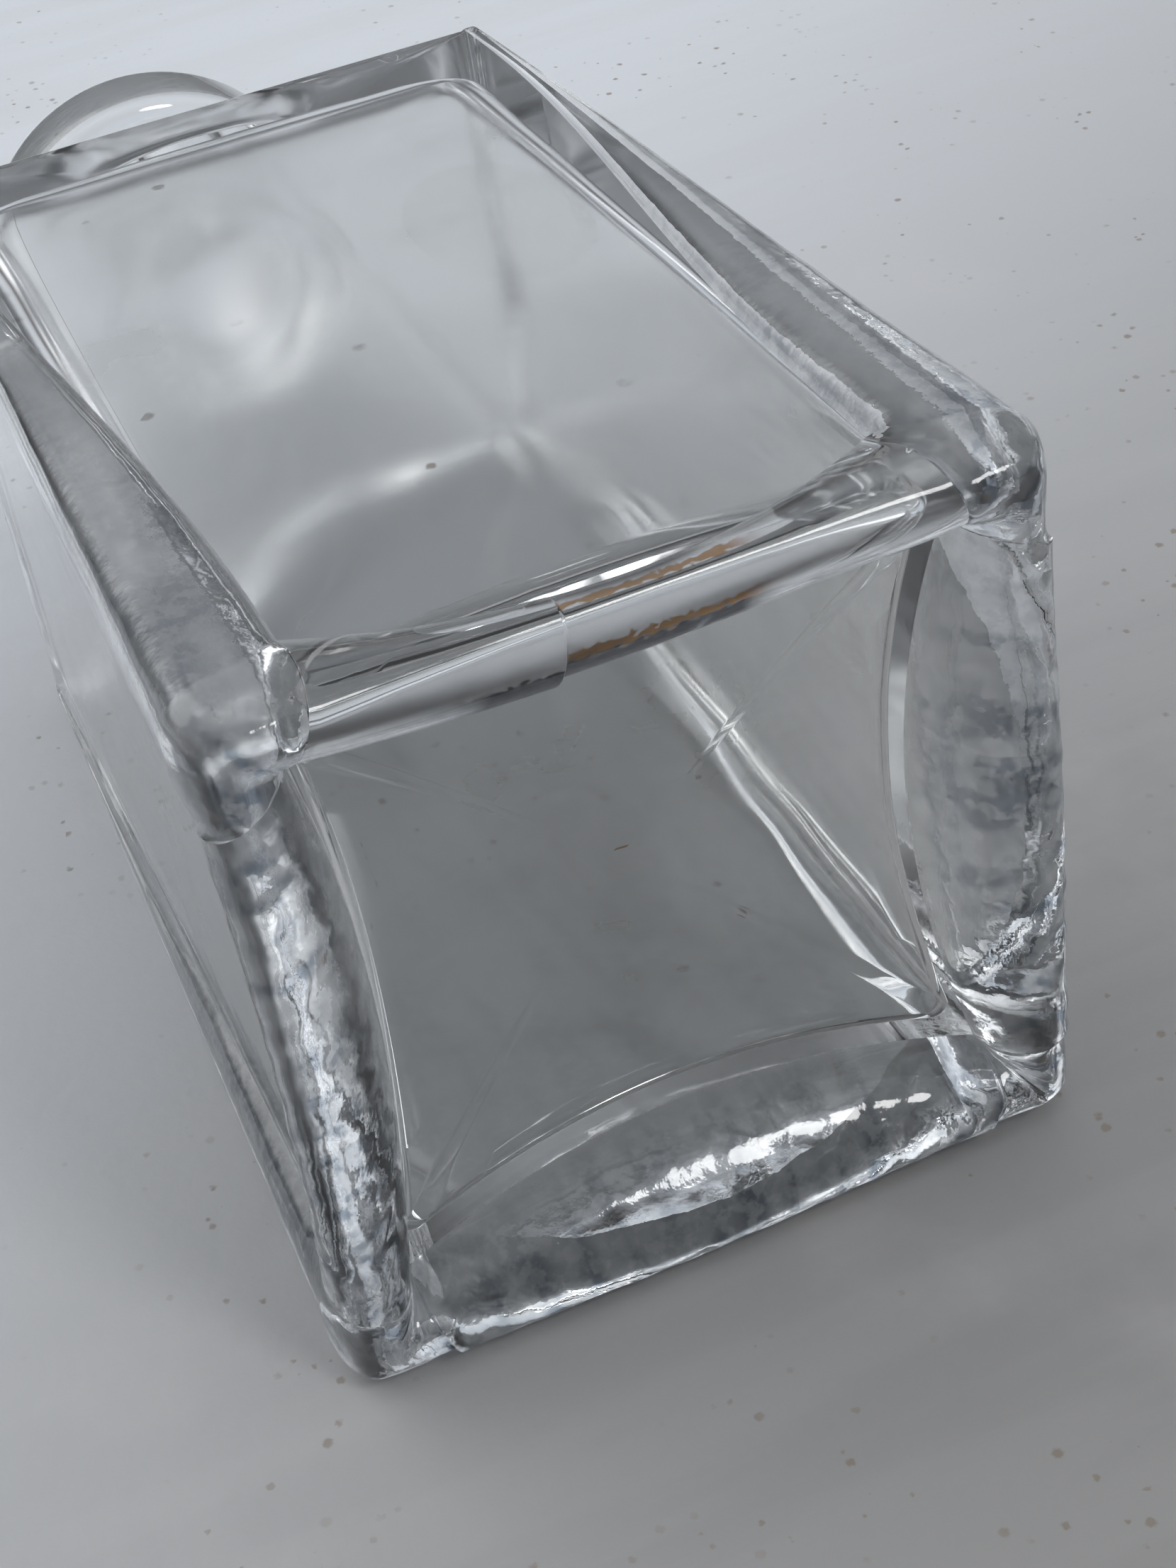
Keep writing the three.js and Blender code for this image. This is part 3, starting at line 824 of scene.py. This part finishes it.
def bottle_glass(specks, clouds, matrix):
    """Clear pressed glass: a fine wavy skin on the rolls and bars with a painted dark reflection
    in streaks, grit and smears all over, and painted brown and black reflection lines along the
    top heel roll, with gritty edges."""
    material, nodes, shader, place = make_clear("pressed_clear_glass")
    # Painted brown and black reflection lines along the top heel roll, placed by its arc and across it
    arc = nodes.attribute("roll_arc")
    across = nodes.attribute("roll_across")
    grain = nodes.add("ShaderNodeTexNoise", {"Scale": 1400.0, "Detail": 4.0}, {"Vector": place})
    jitter = nodes.math("SUBTRACT", grain.outputs["Fac"], 0.5)
    line = nodes.math("ADD", arc, nodes.math("MULTIPLY", jitter, LINE_JITTER))
    brown_reflection = reflection_lines(nodes, line, across, BROWN_REFLECTION_LINES, BROWN_REFLECTION_REACH)
    black_reflection = reflection_lines(nodes, line, across, BLACK_REFLECTION_LINES, BLACK_REFLECTION_REACH)

    # Painted dark reflection: a slate tint on the rippled rolls and bars, in streaks and mottle
    skin_share = nodes.attribute("mould_skin")
    dark_reflection_streak = nodes.ramp(nodes.attribute("dark_reflection_streak"), 0.0, 1.0, 0.5, 1.0)
    mottle = use_group(nodes, clouds, place, Scale=800.0, Low=0.40, High=0.60)
    depth = nodes.math("MULTIPLY", dark_reflection_streak, skin_share)
    depth = nodes.math("MULTIPLY", depth, nodes.ramp(mottle, 0.0, 1.0, 0.6, 1.0))

    film = nodes.attribute("film")
    haze = use_group(nodes, clouds, place, Scale=48.0, Low=0.40, High=0.62)
    bare_band = nodes.math("SUBTRACT", 1.0, tide_mark(nodes, place, matrix))
    dull = nodes.math("MULTIPLY", film, bare_band)
    dull = nodes.math("MULTIPLY", dull, nodes.ramp(haze, 0.0, 1.0, 0.35, 1.0))

    grit = use_group(nodes, specks, place, Scale=420.0, Share=0.05, Size=0.42)
    dirty = use_group(nodes, clouds, place, Scale=70.0, Low=0.50, High=0.60)
    # Painted dark reflection, the film's haze, grit, then the painted brown and black reflection lines
    colour = nodes.blend(depth, (*CLEAR, 1), DARK_REFLECTION_TINT)
    colour = nodes.blend(dull, colour, HAZE)
    colour = nodes.blend(nodes.math("MULTIPLY", grit, dirty), colour, SOIL)
    colour = nodes.blend(brown_reflection, colour, BROWN_REFLECTION)
    colour = nodes.blend(black_reflection, colour, BLACK_REFLECTION)
    nodes.feed(shader.inputs["Base Color"], colour)

    smear = use_group(nodes, clouds, place, Scale=55.0, Low=0.48, High=0.72)
    bare = nodes.ramp(smear, 0.0, 1.0, 0.008, 0.09)
    filmed = nodes.ramp(smear, 0.0, 1.0, 0.16, 0.30)
    nodes.feed(shader.inputs["Roughness"], nodes.ramp(film, 0.0, 1.0, bare, filmed))

    skin = nodes.add("ShaderNodeTexNoise", {"Scale": 750.0, "Detail": 3.0}, {"Vector": place})
    height = nodes.math("MULTIPLY", skin.outputs["Fac"], skin_share)
    bump = nodes.add("ShaderNodeBump", {"Strength": 0.25, "Distance": 0.2 * MM}, {"Height": height})
    nodes.feed(shader.inputs["Normal"], bump.outputs["Normal"])
    return material


def stopper_glass(specks, clouds):
    """Clear glass with a ground, frosted plug, fine grit in the frost, and faint smears."""
    material, nodes, shader, place = make_clear("ground_stopper_glass")
    frost = nodes.attribute("ground")
    smear = use_group(nodes, clouds, place, Scale=60.0, Low=0.45, High=0.75)
    clean = nodes.ramp(smear, 0.0, 1.0, 0.01, 0.07)
    ground = nodes.ramp(smear, 0.0, 1.0, 0.38, 0.5)
    nodes.feed(shader.inputs["Roughness"], nodes.ramp(frost, 0.0, 1.0, clean, ground))
    grit = use_group(nodes, specks, place, Scale=500.0, Share=0.05, Size=0.4)
    nodes.feed(shader.inputs["Base Color"], nodes.blend(grit, (*CLEAR, 1), SOIL))
    grain = nodes.add("ShaderNodeTexNoise", {"Scale": 4500.0, "Detail": 2.0}, {"Vector": place})
    height = nodes.math("MULTIPLY", grain.outputs["Fac"], frost)
    bump = nodes.add("ShaderNodeBump", {"Strength": 0.35, "Distance": 0.08 * MM}, {"Height": height})
    nodes.feed(shader.inputs["Normal"], bump.outputs["Normal"])
    return material


def floor_material(specks, clouds):
    """Worn white paint on a board: cool and bright behind, with painted shade that makes it warmer
    and darker in front and to the right, long brush marks, soft blotches and scattered grit, and
    darker far away."""
    material, nodes, shader, place = new_material("worn_white_paint", (0.8, 0.8, 0.8), 0.55)
    split = nodes.add("ShaderNodeSeparateXYZ", None, {"Vector": place})
    # Painted shade: the paint goes from the lit colour behind to a shaded colour in front and to the
    # right
    back = nodes.math("MULTIPLY", split.outputs["Y"], 0.85)
    right = nodes.math("MULTIPLY", split.outputs["X"], 0.5)
    clean = nodes.ramp(nodes.math("SUBTRACT", back, right), -0.11, 0.10)
    colour = nodes.blend(clean, PAINT_IN_SHADE, PAINT_IN_LIGHT)

    stretch = {"Scale": (0.12, 1.0, 1.0), "Rotation": (0, 0, 0.25)}
    along = nodes.add("ShaderNodeMapping", stretch, {"Vector": place}).outputs["Vector"]
    brush = use_group(nodes, clouds, along, Scale=110.0, Low=0.35, High=0.65)
    colour = nodes.blend(nodes.ramp(brush, 0.0, 1.0, 0.0, 0.12), colour, BRUSHED_PAINT)
    blotch = use_group(nodes, clouds, place, Scale=28.0, Low=0.5, High=0.7)
    colour = nodes.blend(nodes.math("MULTIPLY", blotch, 0.25), colour, STAINED_PAINT)

    grit = use_group(nodes, specks, place, Scale=800.0, Share=0.22, Size=0.45)
    dirty = use_group(nodes, clouds, place, Scale=38.0, Low=0.45, High=0.60)
    dirty = nodes.math("MULTIPLY", dirty, 0.75)
    colour = nodes.blend(nodes.math("MULTIPLY", grit, dirty), colour, SOIL)

    reach = nodes.add("ShaderNodeVectorMath", None, {0: place}, operation="LENGTH")
    far = nodes.ramp(reach.outputs["Value"], 0.18, 0.8, 1.0, 0.35)
    colour = nodes.blend(1.0, colour, far, "MULTIPLY")
    nodes.feed(shader.inputs["Base Color"], colour)
    grain = nodes.add("ShaderNodeTexNoise", {"Scale": 600.0, "Detail": 4.0}, {"Vector": place})
    bump = nodes.add(
        "ShaderNodeBump", {"Strength": 0.25, "Distance": 0.3 * MM}, {"Height": grain.outputs["Fac"]}
    )
    nodes.feed(shader.inputs["Normal"], bump.outputs["Normal"])
    return material


# ---------------------------------------------------------------------------------------------
# Floor, light and camera
# ---------------------------------------------------------------------------------------------
FLOOR_HALF = 3.0


def make_floor(material):
    """A flat square under the bottle, with its middle at the origin."""
    corners = ((-1, -1, 0), (1, -1, 0), (1, 1, 0), (-1, 1, 0))
    floor = mesh_piece("floor", FLOOR_HALF * np.array(corners), [[0, 1, 2, 3]])
    floor.data.materials.append(material)


# Colours of the sky by the height of the direction, from the horizon to straight up
SKY = (
    (0.0, (0.02, 0.015, 0.01)),
    (0.10, (0.05, 0.045, 0.04)),
    (0.26, (0.25, 0.26, 0.28)),
    (0.42, (0.60, 0.64, 0.70)),
    (0.70, (0.85, 0.90, 0.97)),
    (1.0, (1.00, 1.05, 1.10)),
)
DARK_SIDE = Vector((-0.2, -0.85, 0.5))
WINDOW_SIDE = Vector((0.30, -0.55, 0.78))
PALE_SIDE = Vector((-0.5, 0.6, 0.62))


def sky_patch(nodes, ray, towards, inner, outer, low, high):
    """A soft round patch of the sky around a direction: high inside it and low outside. The
    inner and outer edges are cosines of the angle from the direction."""
    dot = nodes.add(
        "ShaderNodeVectorMath", {1: towards.normalized()}, {0: ray}, operation="DOT_PRODUCT"
    )
    return nodes.ramp(dot.outputs["Value"], outer, inner, low, high)


def make_light():
    """A pale sky that darkens to the horizon, with a dark near side, one bright window above it
    and a paler patch behind."""
    world = bpy.data.worlds.new("studio")
    bpy.context.scene.world = world
    world.use_nodes = True
    nodes = Nodes(world.node_tree)
    ray = nodes.add("ShaderNodeTexCoord").outputs["Generated"]
    split = nodes.add("ShaderNodeSeparateXYZ", None, {"Vector": ray})
    sky = nodes.add("ShaderNodeValToRGB", None, {"Fac": split.outputs["Z"]})
    stops = sky.color_ramp.elements
    for _ in range(len(SKY) - len(stops)):
        stops.new(0.5)
    for stop, (place, colour) in zip(stops, SKY):
        stop.position = place
        stop.color = (*colour, 1)
    dark = sky_patch(nodes, ray, DARK_SIDE, 0.90, 0.72, 1.0, 0.06)
    window = sky_patch(nodes, ray, WINDOW_SIDE, 0.995, 0.990, 0.0, 15.0)
    back = sky_patch(nodes, ray, PALE_SIDE, 0.95, 0.85, 0.0, 1.6)
    colour = nodes.blend(1.0, sky.outputs["Color"], dark, "MULTIPLY")
    colour = nodes.blend(1.0, colour, window, "ADD")
    colour = nodes.blend(1.0, colour, back, "ADD")
    background = world.node_tree.nodes["Background"]
    nodes.feed(background.inputs["Color"], colour)
    background.inputs["Strength"].default_value = 1.0
    bpy.context.scene.view_settings.view_transform = "Standard"


lay_matrix = laid_down()

AIM = lay_matrix.translation + Vector((0.93, 20.0, 0.02)) * MM
AZIMUTH = math.radians(-18.14)
ELEVATION = math.radians(38.82)
ROLL = math.radians(-8.70)
DISTANCE = 194.4 * MM
LENS = 61.73
SENSOR = 36


def make_camera():
    """A camera that looks at the aim from the azimuth and elevation, rolled about its own axis."""
    data = bpy.data.cameras.new("camera")
    data.lens = LENS
    data.sensor_width = SENSOR
    data.clip_start = 0.005
    camera = bpy.data.objects.new("camera", data)
    bpy.context.scene.collection.objects.link(camera)
    back = Vector(
        (
            math.sin(AZIMUTH) * math.cos(ELEVATION),
            -math.cos(AZIMUTH) * math.cos(ELEVATION),
            math.sin(ELEVATION),
        )
    )
    camera.location = AIM + back * DISTANCE
    upright = back.to_track_quat("Z", "Y").to_matrix().to_4x4()
    turn = upright @ Matrix.Rotation(ROLL, 4, "Z")
    camera.rotation_euler = turn.to_euler()
    bpy.context.scene.camera = camera


specks, clouds = speck_group(), cloud_group()
bottle = make_bottle(lay_matrix)
bottle.data.materials.append(bottle_glass(specks, clouds, lay_matrix))
stopper = make_stopper(lay_matrix)
stopper.data.materials.append(stopper_glass(specks, clouds))
make_floor(floor_material(specks, clouds))
make_light()
make_camera()

cycles = bpy.context.scene.cycles
cycles.max_bounces = 18
cycles.glossy_bounces = 10
cycles.transmission_bounces = 18
